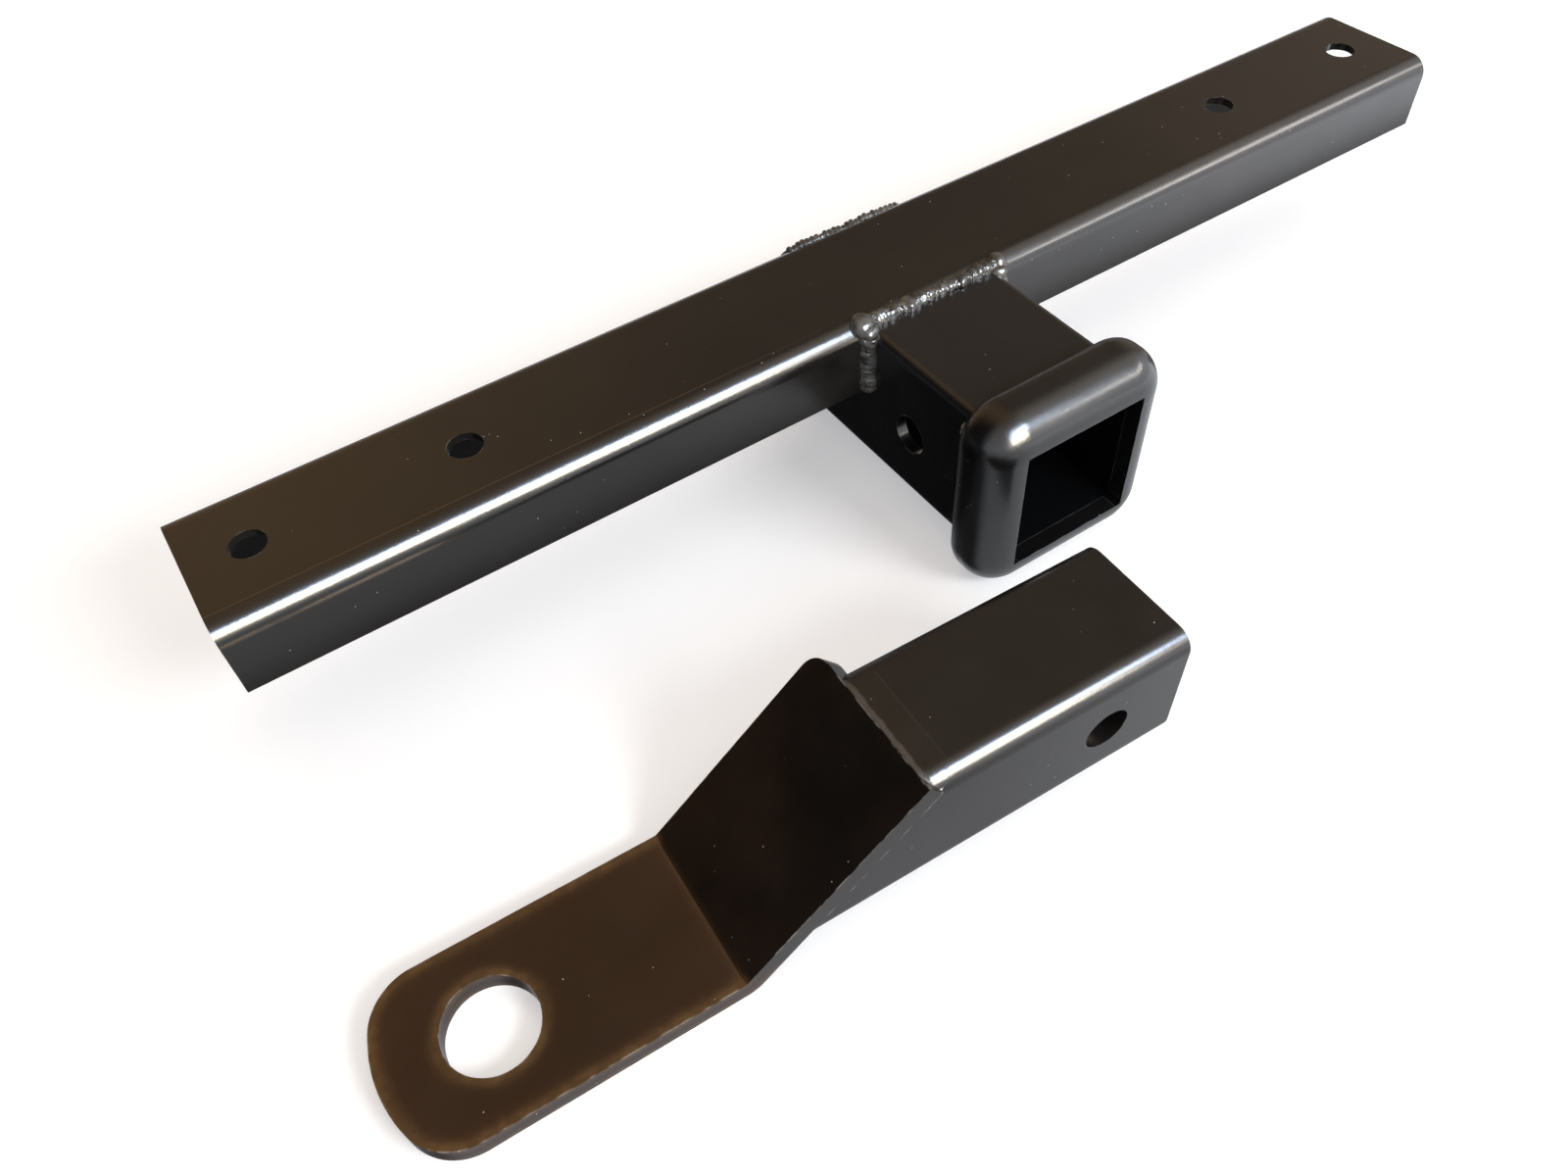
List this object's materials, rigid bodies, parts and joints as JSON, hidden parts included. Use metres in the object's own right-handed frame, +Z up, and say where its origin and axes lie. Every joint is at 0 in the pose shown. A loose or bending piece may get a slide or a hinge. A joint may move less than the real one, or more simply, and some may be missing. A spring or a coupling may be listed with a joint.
{
  "type": "golf cart hitch",
  "caption": "Bolt-on crossbar with a square receiver and heavy collar, and its drawbar with a bent ball tongue, both welded and satin black",
  "frame": {"origin": "centre of the channel's top face, on the line of its bolt holes", "axes": "+X along the channel, -Y out of the receiver's mouth, +Z up, out of the channel's top"},
  "size_m": [0.5962, 0.239, 0.0835],
  "materials": {
    "crossbar_black": "satin black enamel over folded sheet",
    "receiver_black": "satin black enamel over square tube",
    "collar_black": "satin black enamel over a heavy rounded collar",
    "shank_black": "satin black enamel over square tube",
    "tongue_black": "satin black enamel over bent plate",
    "weld_black": "satin black enamel over rippled weld",
    "dressed_weld_black": "satin black enamel over ground weld"
  },
  "bodies": {
    "root": {"crossbar_channel": "crossbar_black", "receiver_tube": "receiver_black", "receiver_collar": "collar_black", "drawbar_shank": "shank_black", "drawbar_tongue": "tongue_black", "weld_front_top": "weld_black", "weld_front_left": "weld_black", "weld_front_right": "weld_black", "weld_rear_top": "weld_black", "weld_rear_left": "weld_black", "weld_rear_right": "weld_black", "collar_weld_left": "weld_black", "collar_weld_right": "weld_black", "drawbar_weld_top": "dressed_weld_black", "drawbar_weld_back": "weld_black", "drawbar_weld_foot": "weld_black"}
  },
  "joints": []
}
